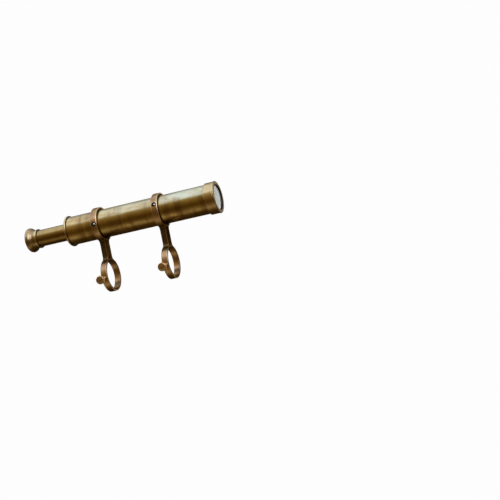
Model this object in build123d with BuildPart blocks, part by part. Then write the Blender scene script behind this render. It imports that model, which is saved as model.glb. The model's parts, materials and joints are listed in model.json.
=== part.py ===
from build123d import *
import math
import os

# Brass finder scope on two brackets.  Millimetres.
# X runs along the sight tube toward the objective, Z up from the clamp rings
# to the sight tube.  Origin: halfway between the clamp rings, on their axis.
# The clamp screws and the sunk tube screws are on the -Y side.

# ---- driving dimensions -------------------------------------------------
tube_r = 22.225                 # main tube, 1 3/4 in outside diameter
tube_wall = 1.6
tube_rear_x = -99.95
tube_front_x = 133.0
push_gap = 0.02                 # radial gap of pieces screwed or pushed together
run_gap = 0.05                  # radial gap of pieces that slide on each other

axis_gap = 80.4                 # clamp-ring axis to sight-tube axis
ring_spacing = 101.6            # centre to centre of the two brackets
ring_width = 10.0
tube_ring_r = 26.8
clamp_ring_r = 25.8
clamp_bore_r = 22.25            # slips over a 1 3/4 in tube
ring_chamfer = 0.6
bore_chamfer = 0.4
post_length = 9.8               # section of the post along the tube
post_width = 16.0               # and across it
post_rounding = 1.8
post_flare = 3.6                # extra half width where the post meets a ring
flare_length = 5.5              # how far the flare reaches beyond the ring

cell_r = 24.5                   # objective cell
cell_rear_x = 129.0
cell_front_x = 145.2
cell_lip_depth = 2.1            # front face to the seat of the lens
cell_lip_r = 18.4
cell_bead_length = 2.6          # the slightly proud bead at the front edge
cell_bead_rise = 0.3
lens_r = 20.4
crown_front_radius = 150.0      # radii of the lens faces
inner_face_radius = 120.0
crown_thickness = 5.3
cement_gap = 0.05
flint_thickness = 2.5           # on the axis

collar_r = 24.35                # rounded collar at the tube's rear end
collar_rear_x = -103.75
collar_bore_r = 15.5
collar_rounding = 1.7
spigot_length = 15.95           # the collar's sleeve inside the main tube
spigot_wall = 2.0

draw_r = 13.25                  # draw tube
draw_wall = 1.2
draw_rear_x = -165.0
draw_front_x = -60.0
stop_ring_length = 4.0

eye_ring_r = 15.3
eye_ring_front_x = -157.8
eye_ring_rear_x = -162.2
eye_ring_rounding = 0.9
cup_r = 19.5                    # widest part of the eye cup
cup_rear_x = -176.0
cup_rim_r = 17.4                # where the outside turns into the dish
cup_neck_r = 14.4
eye_hole_r = 6.5
eye_hole_length = 1.3

barrel_r = 12.0                 # eyepiece barrel inside the draw tube
barrel_wall = 0.8
barrel_rear_x = -168.4
barrel_front_x = -124.0
eye_lens_r = 8.6
eye_lens_radius = 18.0
eye_lens_seat_x = -165.6
eye_lens_thickness = 4.6
eye_cell_front_x = -160.0
field_lens_r = 11.15
field_lens_radius = 26.0
field_lens_front_x = -133.6
field_lens_thickness = 4.6
sleeve_bore_r = 10.2            # spacer and field stop
field_stop_hole_r = 8.2
field_stop_front_x = -125.4
field_stop_web = 1.2
wire_r = 0.12
wire_half_length = 9.6

set_screw_r = 2.1               # tube screws, sunk in the upper rings
set_screw_sink_r = 3.1
set_screw_sink_depth = 1.9
set_screw_head_r = 2.75
set_screw_recess = 0.35
rear_set_angle = 0.0            # degrees above level, on the -Y side
front_set_angle = 18.7

clamp_angle = -8.0              # clamp screws, in the lower rings
clamp_thread_r = 2.5
clamp_thread_gap = 0.06
clamp_shoulder_r = 3.5
clamp_shoulder_d = 32.0         # distances from the clamp rings' axis
clamp_head_d = 39.0
clamp_head_end_d = 43.5
clamp_head_r = 6.6
clamp_peg_r = 1.8               # end of the shank that the head is pressed on
clamp_peg_length = 2.55
notch_count = 24
notch_r = 0.45
notch_depth = 0.27

# ---- worked out from them -----------------------------------------------
tube_bore_r = tube_r - tube_wall
draw_bore_r = draw_r - draw_wall
barrel_bore_r = barrel_r - barrel_wall
spigot_front_x = tube_rear_x + spigot_length
cell_lip_x = cell_front_x - cell_lip_depth

sight_axis = Axis((0, 0, axis_gap), (1, 0, 0))
# profile plane: first coordinate along the tube, second the radius
profile_plane = Plane((0, 0, axis_gap), x_dir=(1, 0, 0), z_dir=(0, -1, 0))

os.makedirs("parts", exist_ok=True)


def radial_plane(x, z_centre, angle, distance):
    """Plane square to a radius on the -Y side, its normal pointing outward."""
    a = math.radians(angle)
    out = (0.0, -math.cos(a), math.sin(a))
    origin = (x, out[1] * distance, z_centre + out[2] * distance)
    return Plane(origin, x_dir=(1, 0, 0), z_dir=out)


def sag(radius, height):
    """How far a spherical lens face falls back at a given height."""
    return radius - math.sqrt(radius**2 - height**2)


def rim_at(node, plane):
    """The circular edge of a round piece whose centre is nearest a plane's origin."""
    circles = node.edges().filter_by(GeomType.CIRCLE)
    return circles.sort_by(lambda edge: (edge.arc_center - plane.origin).length)[0]


def rims_of(node, radius):
    """The circular edges of one radius."""
    circles = node.edges().filter_by(GeomType.CIRCLE)
    return circles.filter_by(lambda edge: abs(edge.radius - radius) < 0.001)


def save(node, name):
    """Label a finished sub-part and write its STEP file."""
    node.part.label = name
    export_step(node.part, f"parts/{name}.step")


# ---- brackets: upper ring, post and clamp ring, brazed together -----------
for side, x_mid, set_angle in (
    ("rear", -ring_spacing / 2, rear_set_angle),
    ("front", ring_spacing / 2, front_set_angle),
):
    side_face = Plane.YZ.offset(x_mid - ring_width / 2)
    tube_ring_axis = Axis((x_mid, 0, axis_gap), (1, 0, 0))
    clamp_ring_axis = Axis((x_mid, 0, 0), (1, 0, 0))

    # upper ring, with a sunk hole for the screw that holds the tube
    with BuildPart() as tube_ring:
        with BuildSketch(side_face):
            with Locations((0, axis_gap)):
                Circle(tube_ring_r)
                Circle(tube_r + push_gap, mode=Mode.SUBTRACT)
        extrude(amount=ring_width)
        chamfer(rims_of(tube_ring, tube_ring_r), ring_chamfer)
        chamfer(rims_of(tube_ring, tube_r + push_gap), bore_chamfer)
        with BuildSketch(radial_plane(x_mid, axis_gap, set_angle, tube_ring_r)):
            Circle(set_screw_r + push_gap)
        extrude(amount=-2 * (tube_ring_r - tube_r), mode=Mode.SUBTRACT)
        with BuildSketch(radial_plane(x_mid, axis_gap, set_angle, tube_ring_r - set_screw_sink_depth)):
            Circle(set_screw_sink_r)
        extrude(amount=2 * set_screw_sink_depth, mode=Mode.SUBTRACT)
    save(tube_ring, f"{side}_tube_ring")

    # clamp ring, with a tapped hole for the clamp screw
    with BuildPart() as clamp_ring:
        with BuildSketch(side_face):
            Circle(clamp_ring_r)
            Circle(clamp_bore_r, mode=Mode.SUBTRACT)
        extrude(amount=ring_width)
        chamfer(rims_of(clamp_ring, clamp_ring_r), ring_chamfer)
        chamfer(rims_of(clamp_ring, clamp_bore_r), bore_chamfer)
        with BuildSketch(radial_plane(x_mid, 0, clamp_angle, clamp_ring_r)):
            Circle(clamp_thread_r + clamp_thread_gap)
        extrude(amount=2 * (clamp_ring_r - clamp_bore_r), both=True, mode=Mode.SUBTRACT)
    save(clamp_ring, f"{side}_clamp_ring")

    # oblong post that flares across the tube at each end, its edges rounded,
    # hollowed at its ends to sit on both rings
    side_y = post_width / 2
    foot_y = side_y + post_flare
    bend_y = side_y + post_flare / 4
    foot_low = math.sqrt(clamp_ring_r**2 - foot_y**2) - ring_chamfer
    foot_high = axis_gap - math.sqrt(tube_ring_r**2 - foot_y**2) + ring_chamfer
    flare_top = clamp_ring_r + flare_length
    flare_bottom = axis_gap - tube_ring_r - flare_length
    with BuildPart() as post:
        with BuildSketch(Plane.YZ.offset(x_mid - post_length / 2)):
            with BuildLine():
                Line((0, foot_low), (foot_y, foot_low))
                Spline(
                    (foot_y, foot_low),
                    (bend_y, (clamp_ring_r + flare_top) / 2),
                    (side_y, flare_top),
                    tangents=((-0.7, 1), (0, 1)),
                )
                Line((side_y, flare_top), (side_y, flare_bottom))
                Spline(
                    (side_y, flare_bottom),
                    (bend_y, (axis_gap - tube_ring_r + flare_bottom) / 2),
                    (foot_y, foot_high),
                    tangents=((0, 1), (0.7, 1)),
                )
                Line((foot_y, foot_high), (0, foot_high))
                mirror(about=Plane.YZ)
            make_face()
        extrude(amount=post_length)
        outlines = post.faces().filter_by(Axis.X).edges().filter_by(Axis.Y, reverse=True)
        fillet(outlines, post_rounding)
        for ring_axis, ring_r in ((tube_ring_axis, tube_ring_r), (clamp_ring_axis, clamp_ring_r)):
            ring_z = ring_axis.position.Z
            with BuildSketch(Plane.XZ) as ring_section:
                with Locations((x_mid, ring_z)):
                    Rectangle(ring_width, ring_r + push_gap, align=(Align.CENTER, Align.MIN))
                chamfer(ring_section.vertices().group_by(Axis.Y)[-1], ring_chamfer)
            revolve(axis=ring_axis, mode=Mode.SUBTRACT)
    save(post, f"{side}_post")

    # domed screw sunk in the upper ring, its end on the main tube
    head_low_d = tube_ring_r - set_screw_sink_depth + push_gap
    head_top_d = tube_ring_r - set_screw_recess
    with BuildPart() as tube_screw:
        with BuildSketch(radial_plane(x_mid, axis_gap, set_angle, tube_r + push_gap)):
            Circle(set_screw_r)
        extrude(amount=head_low_d - tube_r - push_gap)
        with BuildSketch(radial_plane(x_mid, axis_gap, set_angle, head_low_d)):
            Circle(set_screw_head_r)
        extrude(amount=head_top_d - head_low_d)
        head_top = radial_plane(x_mid, axis_gap, set_angle, head_top_d)
        fillet(rim_at(tube_screw, head_top), 1.1)
        with BuildSketch(head_top):
            Rectangle(2 * set_screw_head_r, 0.7, rotation=35)
        extrude(amount=-0.6, mode=Mode.SUBTRACT)
    save(tube_screw, f"{side}_tube_screw")

    # clamp screw: shank with a shoulder, and a disc head pressed on its end
    with BuildPart() as clamp_shank:
        with BuildSketch(radial_plane(x_mid, 0, clamp_angle, clamp_bore_r + push_gap)):
            Circle(clamp_thread_r)
        extrude(amount=clamp_shoulder_d - clamp_bore_r - push_gap)
        with BuildSketch(radial_plane(x_mid, 0, clamp_angle, clamp_shoulder_d)):
            Circle(clamp_shoulder_r)
        extrude(amount=clamp_head_d - clamp_shoulder_d - run_gap)
        with BuildSketch(radial_plane(x_mid, 0, clamp_angle, clamp_head_d - run_gap)):
            Circle(clamp_peg_r)
        extrude(amount=clamp_peg_length)
        chamfer(rims_of(clamp_shank, clamp_shoulder_r), 0.5)
    save(clamp_shank, f"{side}_clamp_shank")

    head_base = radial_plane(x_mid, 0, clamp_angle, clamp_head_d)
    head_end = radial_plane(x_mid, 0, clamp_angle, clamp_head_end_d)
    with BuildPart() as clamp_head:
        with BuildSketch(head_base):
            Circle(clamp_head_r)
        extrude(amount=clamp_head_end_d - clamp_head_d)
        fillet(rim_at(clamp_head, head_end), 1.2)
        fillet(rim_at(clamp_head, head_base), 0.6)
        with BuildSketch(head_base):
            Circle(clamp_peg_r + run_gap)
        extrude(amount=clamp_peg_length + run_gap, mode=Mode.SUBTRACT)
        # coin-edge notches round the rim
        with BuildSketch(head_base):
            with PolarLocations(clamp_head_r + notch_r - notch_depth, notch_count):
                Circle(notch_r)
        extrude(amount=clamp_head_end_d - clamp_head_d, mode=Mode.SUBTRACT)
    save(clamp_head, f"{side}_clamp_head")

# ---- main tube and its ends ---------------------------------------------
with BuildPart() as main_tube:
    with BuildSketch(profile_plane):
        with Locations((tube_rear_x, tube_bore_r)):
            Rectangle(tube_front_x - tube_rear_x, tube_wall, align=(Align.MIN, Align.MIN))
    revolve(axis=sight_axis)
    chamfer(rims_of(main_tube, tube_r), 0.3)
save(main_tube, "main_tube")

# rear collar: a rounded bead outside, a spigot inside the tube
spigot_r = tube_bore_r - push_gap
with BuildPart() as rear_collar:
    with BuildSketch(profile_plane) as collar_profile:
        with Locations((collar_rear_x, collar_bore_r)):
            Rectangle(
                tube_rear_x - collar_rear_x,
                collar_r - collar_bore_r,
                align=(Align.MIN, Align.MIN),
            )
        fillet(collar_profile.vertices().group_by(Axis.Y)[-1], collar_rounding)
        with Locations((tube_rear_x - 0.5, spigot_r - spigot_wall)):
            Rectangle(spigot_length + 0.5, spigot_wall, align=(Align.MIN, Align.MIN))
    revolve(axis=sight_axis)
    chamfer(rims_of(rear_collar, collar_bore_r).sort_by(Axis.X)[0], 0.5)
save(rear_collar, "rear_collar")

# bronze bush that the draw tube runs in, flanged at its front end
bush_rear_x = collar_rear_x + 0.85
bush_flange = 2.4
with BuildPart() as guide_bush:
    with BuildSketch(profile_plane):
        with BuildLine():
            Polyline(
                (bush_rear_x, draw_r + run_gap),
                (spigot_front_x, draw_r + run_gap),
                (spigot_front_x, spigot_r - spigot_wall - push_gap),
                (spigot_front_x - bush_flange, spigot_r - spigot_wall - push_gap),
                (spigot_front_x - bush_flange, collar_bore_r - push_gap),
                (bush_rear_x, collar_bore_r - push_gap),
                close=True,
            )
        make_face()
    revolve(axis=sight_axis)
    chamfer(rims_of(guide_bush, draw_r + run_gap), bore_chamfer)
save(guide_bush, "guide_bush")

# objective cell, screwed over the front of the tube
body_r = cell_r - cell_bead_rise
with BuildPart() as objective_cell:
    with BuildSketch(profile_plane):
        with BuildLine():
            Polyline(
                (cell_rear_x, tube_r + push_gap),
                (tube_front_x + run_gap, tube_r + push_gap),
                (tube_front_x + run_gap, lens_r + run_gap),
                (cell_lip_x, lens_r + run_gap),
                (cell_lip_x, cell_lip_r),
                (cell_front_x - 1.2, cell_lip_r),
                (cell_front_x - 0.3, cell_lip_r + 0.9),
                (cell_front_x, cell_lip_r + 1.6),
                (cell_front_x, cell_r - 1.0),
                (cell_front_x - 0.5, cell_r),
                (cell_front_x - cell_bead_length, cell_r),
                (cell_front_x - cell_bead_length - cell_bead_rise, body_r),
                (cell_rear_x + 0.9, body_r),
                (cell_rear_x, body_r - 0.9),
                close=True,
            )
        make_face()
    revolve(axis=sight_axis)
save(objective_cell, "objective_cell")

# doublet: a double-convex crown in front, a concave-flat flint behind it
half_r = lens_r / 2
crown_vertex = cell_lip_x - push_gap + sag(crown_front_radius, cell_lip_r)
crown_edge = crown_vertex - sag(crown_front_radius, lens_r)
inner_vertex = crown_vertex - crown_thickness
inner_half = inner_vertex + sag(inner_face_radius, half_r)
inner_edge = inner_vertex + sag(inner_face_radius, lens_r)
flint_vertex = inner_vertex - cement_gap
flint_rear_x = flint_vertex - flint_thickness

with BuildPart() as crown_lens:
    with BuildSketch(profile_plane):
        with BuildLine():
            ThreePointArc(
                (crown_vertex, 0),
                (crown_vertex - sag(crown_front_radius, half_r), half_r),
                (crown_edge, lens_r),
            )
            Line((crown_edge, lens_r), (inner_edge, lens_r))
            ThreePointArc((inner_edge, lens_r), (inner_half, half_r), (inner_vertex, 0))
            Line((inner_vertex, 0), (crown_vertex, 0))
        make_face()
    revolve(axis=sight_axis)
save(crown_lens, "crown_lens")

with BuildPart() as flint_lens:
    with BuildSketch(profile_plane):
        with BuildLine():
            ThreePointArc(
                (flint_vertex, 0),
                (inner_half - cement_gap, half_r),
                (inner_edge - cement_gap, lens_r),
            )
            Polyline(
                (inner_edge - cement_gap, lens_r),
                (flint_rear_x, lens_r),
                (flint_rear_x, 0),
                (flint_vertex, 0),
            )
        make_face()
    revolve(axis=sight_axis)
save(flint_lens, "flint_lens")

# ring that holds the lenses, with two key slots in its rear face
retainer_bore_r = cell_lip_r - 0.2
retainer_rear_x = tube_front_x + 2 * run_gap
with BuildPart() as lens_retainer:
    with BuildSketch(profile_plane):
        with Locations((retainer_rear_x, retainer_bore_r)):
            Rectangle(
                flint_rear_x - push_gap - retainer_rear_x,
                lens_r + run_gap - push_gap - retainer_bore_r,
                align=(Align.MIN, Align.MIN),
            )
    revolve(axis=sight_axis)
    with BuildSketch(Plane.YZ.offset(retainer_rear_x)):
        with Locations((0, axis_gap)):
            Rectangle(3 * lens_r, 1.6)
    extrude(amount=1.0, mode=Mode.SUBTRACT)
save(lens_retainer, "lens_retainer")

# blackened glare stops inside the main tube: a thin web with a short skirt
web = 0.8
skirt_length = 6.0
skirt_wall = 1.0
for stop_name, stop_x, stop_hole_r in (
    ("front_glare_stop", 92.0, 16.0),
    ("rear_glare_stop", 34.0, 12.5),
):
    with BuildPart() as glare_stop:
        with BuildSketch(profile_plane):
            with BuildLine():
                Polyline(
                    (stop_x, stop_hole_r),
                    (stop_x + web, stop_hole_r),
                    (stop_x + web, tube_bore_r - push_gap - skirt_wall),
                    (stop_x + skirt_length, tube_bore_r - push_gap - skirt_wall),
                    (stop_x + skirt_length, tube_bore_r - push_gap),
                    (stop_x, tube_bore_r - push_gap),
                    close=True,
                )
            make_face()
        revolve(axis=sight_axis)
    save(glare_stop, stop_name)

# ---- draw tube -----------------------------------------------------------
with BuildPart() as draw_tube:
    with BuildSketch(profile_plane):
        with Locations((draw_rear_x, draw_bore_r)):
            Rectangle(draw_front_x - draw_rear_x, draw_wall, align=(Align.MIN, Align.MIN))
    revolve(axis=sight_axis)
save(draw_tube, "draw_tube")

# stop ring on its inner end, with relief holes that let the air past
with BuildPart() as draw_stop_ring:
    with BuildSketch(profile_plane) as stop_profile:
        with Locations((draw_front_x - stop_ring_length, draw_r + push_gap)):
            Rectangle(
                stop_ring_length,
                tube_bore_r - run_gap - draw_r - push_gap,
                align=(Align.MIN, Align.MIN),
            )
        chamfer(stop_profile.vertices().group_by(Axis.Y)[-1], 0.5)
    revolve(axis=sight_axis)
    with BuildSketch(Plane.YZ.offset(draw_front_x)):
        with Locations((0, axis_gap)):
            with PolarLocations((draw_r + tube_bore_r) / 2, 3, start_angle=90):
                Circle(1.6)
    extrude(amount=-stop_ring_length, mode=Mode.SUBTRACT)
save(draw_stop_ring, "draw_stop_ring")

with BuildPart() as eyepiece_ring:
    with BuildSketch(profile_plane) as ring_profile:
        with Locations((eye_ring_rear_x, draw_r + push_gap)):
            Rectangle(
                eye_ring_front_x - eye_ring_rear_x,
                eye_ring_r - draw_r - push_gap,
                align=(Align.MIN, Align.MIN),
            )
        fillet(ring_profile.vertices().group_by(Axis.Y)[-1], eye_ring_rounding)
    revolve(axis=sight_axis)
save(eyepiece_ring, "eyepiece_ring")

# flared eye cup: bell outside, shallow dish inside
cup_front_x = eye_ring_rear_x - run_gap
tube_seat_x = draw_rear_x - run_gap
barrel_seat_x = barrel_rear_x - run_gap
hole_rear_x = barrel_rear_x - eye_hole_length
with BuildPart() as eye_cup:
    with BuildSketch(profile_plane):
        with BuildLine():
            Polyline(
                (cup_front_x, cup_neck_r),
                (cup_front_x, draw_r + push_gap),
                (tube_seat_x, draw_r + push_gap),
                (tube_seat_x, barrel_r + push_gap),
                (barrel_seat_x, barrel_r + push_gap),
                (barrel_seat_x, eye_hole_r),
                (hole_rear_x, eye_hole_r),
            )
            Spline(
                (hole_rear_x, eye_hole_r),
                (-172.0, 10.6),
                (-174.6, 14.6),
                (cup_rear_x, cup_rim_r),
                tangents=((-0.2, 1), (-0.7, 1)),
            )
            Spline(
                (cup_rear_x, cup_rim_r),
                (-175.3, 18.7),
                (-173.1, cup_r),
                (-170.4, 18.9),
                (-168.1, 17.2),
                (-166.3, 15.4),
                (-164.4, 14.6),
                (cup_front_x, cup_neck_r),
            )
        make_face()
    revolve(axis=sight_axis)
save(eye_cup, "eye_cup")

# ---- eyepiece inside the draw tube ----------------------------------------
sleeve_r = barrel_bore_r - push_gap
with BuildPart() as eyepiece_barrel:
    with BuildSketch(profile_plane):
        with Locations((barrel_rear_x, barrel_bore_r)):
            Rectangle(barrel_front_x - barrel_rear_x, barrel_wall, align=(Align.MIN, Align.MIN))
    revolve(axis=sight_axis)
save(eyepiece_barrel, "eyepiece_barrel")

with BuildPart() as eye_lens_cell:
    with BuildSketch(profile_plane):
        with BuildLine():
            Polyline(
                (barrel_rear_x + 0.1, eye_lens_r - 1.2),
                (eye_lens_seat_x, eye_lens_r - 1.2),
                (eye_lens_seat_x, eye_lens_r + push_gap),
                (eye_cell_front_x, eye_lens_r + push_gap),
                (eye_cell_front_x, sleeve_r),
                (barrel_rear_x + 0.1, sleeve_r),
                close=True,
            )
        make_face()
    revolve(axis=sight_axis)
save(eye_lens_cell, "eye_lens_cell")

# eye lens: flat toward the eye, convex forward
eye_flat_x = eye_lens_seat_x + push_gap
eye_vertex = eye_flat_x + eye_lens_thickness
eye_edge = eye_vertex - sag(eye_lens_radius, eye_lens_r)
with BuildPart() as eye_lens:
    with BuildSketch(profile_plane):
        with BuildLine():
            Polyline((eye_vertex, 0), (eye_flat_x, 0), (eye_flat_x, eye_lens_r), (eye_edge, eye_lens_r))
            ThreePointArc(
                (eye_edge, eye_lens_r),
                (eye_vertex - sag(eye_lens_radius, eye_lens_r / 2), eye_lens_r / 2),
                (eye_vertex, 0),
            )
        make_face()
    revolve(axis=sight_axis)
save(eye_lens, "eye_lens")

# field lens: convex toward the eye, flat forward
field_vertex = field_lens_front_x - field_lens_thickness
field_edge = field_vertex + sag(field_lens_radius, field_lens_r)
with BuildPart() as field_lens:
    with BuildSketch(profile_plane):
        with BuildLine():
            ThreePointArc(
                (field_vertex, 0),
                (field_vertex + sag(field_lens_radius, field_lens_r / 2), field_lens_r / 2),
                (field_edge, field_lens_r),
            )
            Polyline(
                (field_edge, field_lens_r),
                (field_lens_front_x, field_lens_r),
                (field_lens_front_x, 0),
                (field_vertex, 0),
            )
        make_face()
    revolve(axis=sight_axis)
save(field_lens, "field_lens")

# spacer from the eye lens's cell to the curved face of the field lens
spacer_rear_x = eye_cell_front_x + run_gap
spacer_front_x = field_vertex + sag(field_lens_radius, sleeve_bore_r) - push_gap
with BuildPart() as lens_spacer:
    with BuildSketch(profile_plane):
        with Locations((spacer_rear_x, sleeve_bore_r)):
            Rectangle(
                spacer_front_x - spacer_rear_x,
                sleeve_r - sleeve_bore_r,
                align=(Align.MIN, Align.MIN),
            )
    revolve(axis=sight_axis)
save(lens_spacer, "lens_spacer")

# field stop: holds the field lens and carries the cross wires on its web
web_rear_x = field_stop_front_x - field_stop_web
with BuildPart() as field_stop:
    with BuildSketch(profile_plane):
        with BuildLine():
            Polyline(
                (field_lens_front_x + run_gap, sleeve_bore_r),
                (web_rear_x, sleeve_bore_r),
                (web_rear_x, field_stop_hole_r),
                (field_stop_front_x, field_stop_hole_r),
                (field_stop_front_x, sleeve_r),
                (field_lens_front_x + run_gap, sleeve_r),
                close=True,
            )
        make_face()
    revolve(axis=sight_axis)
save(field_stop, "field_stop")

upright_x = web_rear_x - wire_r - push_gap
with BuildPart() as upright_wire:
    with BuildSketch(Plane.XY.offset(axis_gap - wire_half_length)):
        with Locations((upright_x, 0)):
            Circle(wire_r)
    extrude(amount=2 * wire_half_length)
save(upright_wire, "upright_wire")

with BuildPart() as level_wire:
    with BuildSketch(Plane.XZ.offset(-wire_half_length)):
        with Locations((upright_x - 2 * wire_r - push_gap, axis_gap)):
            Circle(wire_r)
    extrude(amount=2 * wire_half_length)
save(level_wire, "level_wire")
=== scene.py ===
import json
import math

import bpy
import numpy as np
from mathutils import Matrix, Vector


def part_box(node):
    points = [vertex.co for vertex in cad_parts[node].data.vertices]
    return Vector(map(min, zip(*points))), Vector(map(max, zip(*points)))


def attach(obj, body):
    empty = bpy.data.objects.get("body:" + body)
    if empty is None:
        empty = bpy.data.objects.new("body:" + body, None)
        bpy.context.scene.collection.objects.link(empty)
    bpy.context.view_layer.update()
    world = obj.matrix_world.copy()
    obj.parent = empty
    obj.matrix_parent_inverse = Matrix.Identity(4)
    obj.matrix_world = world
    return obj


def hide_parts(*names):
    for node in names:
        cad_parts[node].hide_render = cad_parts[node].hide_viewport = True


# A brass finder scope on two ring brackets.  Metres, in the frame of the packed
# model: X along the sight tube toward the objective, Z up from the clamp rings.

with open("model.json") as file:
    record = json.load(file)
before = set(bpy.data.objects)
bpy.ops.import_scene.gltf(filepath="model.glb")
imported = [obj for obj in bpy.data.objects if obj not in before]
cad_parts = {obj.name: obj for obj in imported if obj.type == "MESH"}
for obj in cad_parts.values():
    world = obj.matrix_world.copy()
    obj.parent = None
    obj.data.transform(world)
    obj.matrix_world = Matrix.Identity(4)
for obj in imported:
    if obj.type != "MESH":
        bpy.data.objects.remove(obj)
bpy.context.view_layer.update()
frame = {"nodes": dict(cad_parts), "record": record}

mm = 0.001
TURN = 2 * math.pi


# ---- measures taken from the frame ---------------------------------------
def ends_and_radius(node):
    """First x, last x and outside radius of a round piece on a lengthwise axis."""
    low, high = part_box(node)
    return low[0], high[0], (high[1] - low[1]) / 2


def middle_and_size(node):
    """Middle x, half length, outside radius and middle z of a piece's box."""
    low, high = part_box(node)
    middle_x, half_length = (low[0] + high[0]) / 2, (high[0] - low[0]) / 2
    return middle_x, half_length, (high[1] - low[1]) / 2, (low[2] + high[2]) / 2


tube_x0, tube_x1, tube_r = ends_and_radius("main_tube")
sight_z = middle_and_size("main_tube")[3]
tube_bore_r = tube_r - 1.6 * mm
cell_x0, cell_x1, cell_r = ends_and_radius("objective_cell")
collar_x0, collar_x1, collar_r = ends_and_radius("rear_collar")
draw_x0, draw_x1, draw_r = ends_and_radius("draw_tube")
draw_bore_r = draw_r - 1.2 * mm
eye_ring_x0, eye_ring_x1, eye_ring_r = ends_and_radius("eyepiece_ring")
cup_x0, cup_x1, cup_r = ends_and_radius("eye_cup")
gap = 0.02 * mm  # between pieces that fit inside one another


# ---- surfaces -------------------------------------------------------------
def outward(points, faces):
    """The faces of a closed surface, turned over if they enclose a negative volume: the sum of
    a . (b x c) / 6 over the triangles (a, b, c) that fan out from each face's first corner."""
    a, b, c = (points[faces[:, corner]] for corner in range(3))
    volume = (a * np.cross(b, c)).sum()
    if faces.shape[1] == 4:
        volume += (a * np.cross(c, points[faces[:, 3]])).sum()
    return faces[:, ::-1] if volume < 0 else faces


def mesh_piece(name, points, faces, uv=None, arris=None, smooth_angle=40.0):
    """A mesh object from arrays of points and quads or triangles, with its own UV map and an
    'arris' value on each point: 1 on edges, made bright by handling wear and a painted
    highlight, 0 on plain surface, and down to -1 for painted shade in recesses, on faces
    turned from the light and where parts meet."""
    mesh = bpy.data.meshes.new(name)
    points = np.asarray(points, dtype=float).reshape(-1, 3)
    faces = outward(points, np.asarray(faces, dtype=np.int32))
    corners = faces.shape[1]
    mesh.vertices.add(len(points))
    mesh.vertices.foreach_set("co", points.astype(np.float32).ravel())
    mesh.loops.add(faces.size)
    mesh.loops.foreach_set("vertex_index", faces.ravel())
    mesh.polygons.add(len(faces))
    mesh.polygons.foreach_set("loop_start", np.arange(len(faces), dtype=np.int32) * corners)
    mesh.update(calc_edges=True)
    if uv is not None:
        corner_uv = np.asarray(uv, dtype=np.float32).reshape(-1, 2)[faces.ravel()]
        mesh.uv_layers.new(name="turned").data.foreach_set("uv", corner_uv.ravel())
    values = np.zeros(len(points)) if arris is None else np.ravel(arris)
    attribute = mesh.attributes.new("arris", "FLOAT", "POINT")
    attribute.data.foreach_set("value", values.astype(np.float32))
    mesh.validate()
    mesh.polygons.foreach_set("use_smooth", np.ones(len(mesh.polygons), dtype=bool))
    piece = bpy.data.objects.new(name, mesh)
    bpy.context.collection.objects.link(piece)
    mesh.set_sharp_from_angle(angle=math.radians(smooth_angle))
    return piece


def soften(outline, radii, steps=6):
    """Rounds each corner of a closed outline with an arc.  For a corner P between unit
    directions a and b that turn by t, the arc starts r*tan(t/2) before P, and its points are
    start + r*(sin(s)*a + (1 - cos(s))*n) for s from 0 to t, n being a's normal on b's side.
    Returns the points and, for each, how sharply the outline turns there (0 to 1)."""
    corner = np.asarray(outline, dtype=float)
    radius = np.broadcast_to(np.asarray(radii, dtype=float), len(corner))
    before = corner - np.roll(corner, 1, axis=0)
    after = np.roll(corner, -1, axis=0) - corner
    long_before = np.linalg.norm(before, axis=1)
    long_after = np.linalg.norm(after, axis=1)
    a = before / long_before[:, None]
    b = after / long_after[:, None]
    cross = a[:, 0] * b[:, 1] - a[:, 1] * b[:, 0]
    turn = np.arctan2(np.abs(cross), (a * b).sum(axis=1))
    reach = np.minimum(radius * np.tan(turn / 2), 0.48 * np.minimum(long_before, long_after))
    radius = reach / np.maximum(np.tan(turn / 2), 1e-6)
    side = np.where(cross >= 0, 1.0, -1.0)
    n = np.stack([-a[:, 1], a[:, 0]], axis=1) * side[:, None]
    s = turn[:, None] * np.linspace(0, 1, steps)[None, :]
    start = corner - a * reach[:, None]
    arc = (
        start[:, None, :]
        + (radius[:, None] * np.sin(s))[..., None] * a[:, None, :]
        + (radius[:, None] * (1 - np.cos(s)))[..., None] * n[:, None, :]
    )
    convex = np.where(cross > 0, np.clip(turn / (math.pi / 2), 0, 1), 0.0)
    edge = convex[:, None] * np.sin(np.linspace(0, math.pi, steps))[None, :]
    return arc.reshape(-1, 2), edge.ravel()


def fill_in(path, edge, longest):
    """Splits the long straight stretches of a closed outline, so that no quad is a sliver.  A
    stretch first gets a point close to each of its ends, so that shading there stays flat."""
    ahead = np.roll(path, -1, axis=0)
    stretch_long = np.linalg.norm(ahead - path, axis=1)
    close = 0.12 * mm
    split = stretch_long > 4 * close
    share = np.where(split, close / stretch_long, 0.0)[:, None]
    trio = np.stack([path, path + (ahead - path) * share, ahead - (ahead - path) * share], axis=1)
    trio_edge = np.stack([edge, np.zeros_like(edge), np.zeros_like(edge)], axis=1)
    keep = np.stack([np.ones_like(split), split, split], axis=1).ravel()
    path, edge = trio.reshape(-1, 2)[keep], trio_edge.ravel()[keep]
    ahead = np.roll(path, -1, axis=0)
    parts = np.maximum(1, np.ceil(np.linalg.norm(ahead - path, axis=1) / longest)).astype(int)
    owner = np.repeat(np.arange(len(path)), parts)
    step = np.arange(len(owner)) - np.repeat(np.cumsum(parts) - parts, parts)
    share = (step / parts[owner])[:, None]
    filled = path[owner] * (1 - share) + ahead[owner] * share
    kept = np.where(step == 0, edge[owner], 0.0)
    return filled, kept


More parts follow.
